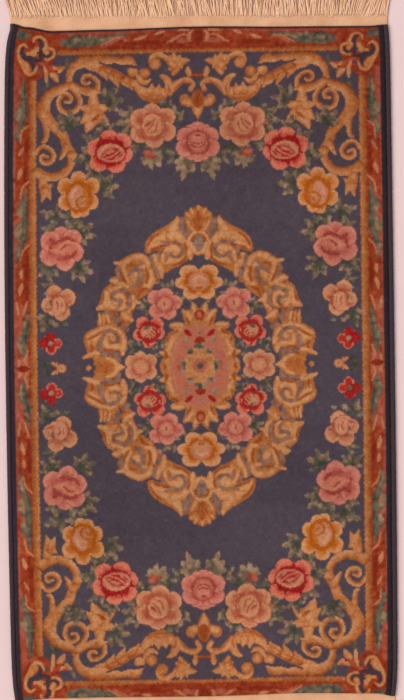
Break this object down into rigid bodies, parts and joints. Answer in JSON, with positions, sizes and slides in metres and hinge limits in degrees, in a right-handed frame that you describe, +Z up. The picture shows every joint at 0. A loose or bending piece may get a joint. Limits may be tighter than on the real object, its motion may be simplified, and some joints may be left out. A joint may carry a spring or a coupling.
{
  "type": "hand-knotted rug",
  "caption": "Flat rectangular hand-knotted wool rug with a rose-garland medallion, dark overcast sides and a cream fringe at both ends; lies on a floor.",
  "frame": {"origin": "on the floor under the middle of the rug, fringes included", "axes": "+X across the rug to the right, +Y along it to the far fringe, +Z up out of the pile"},
  "size_m": [0.908, 1.724, 0.01],
  "materials": {
    "knotted_pile": "cut wool pile, matt with a soft sheen",
    "side_cord": "dark wool overcast on a cord, matt",
    "warp_yarn": "undyed cotton warp, flat-woven band and loose yarns, matt"
  },
  "bodies": {
    "root": {"rug_body": "knotted_pile", "binding_left": "side_cord", "binding_right": "side_cord", "fringe_far": "warp_yarn", "fringe_near": "warp_yarn"}
  },
  "joints": []
}
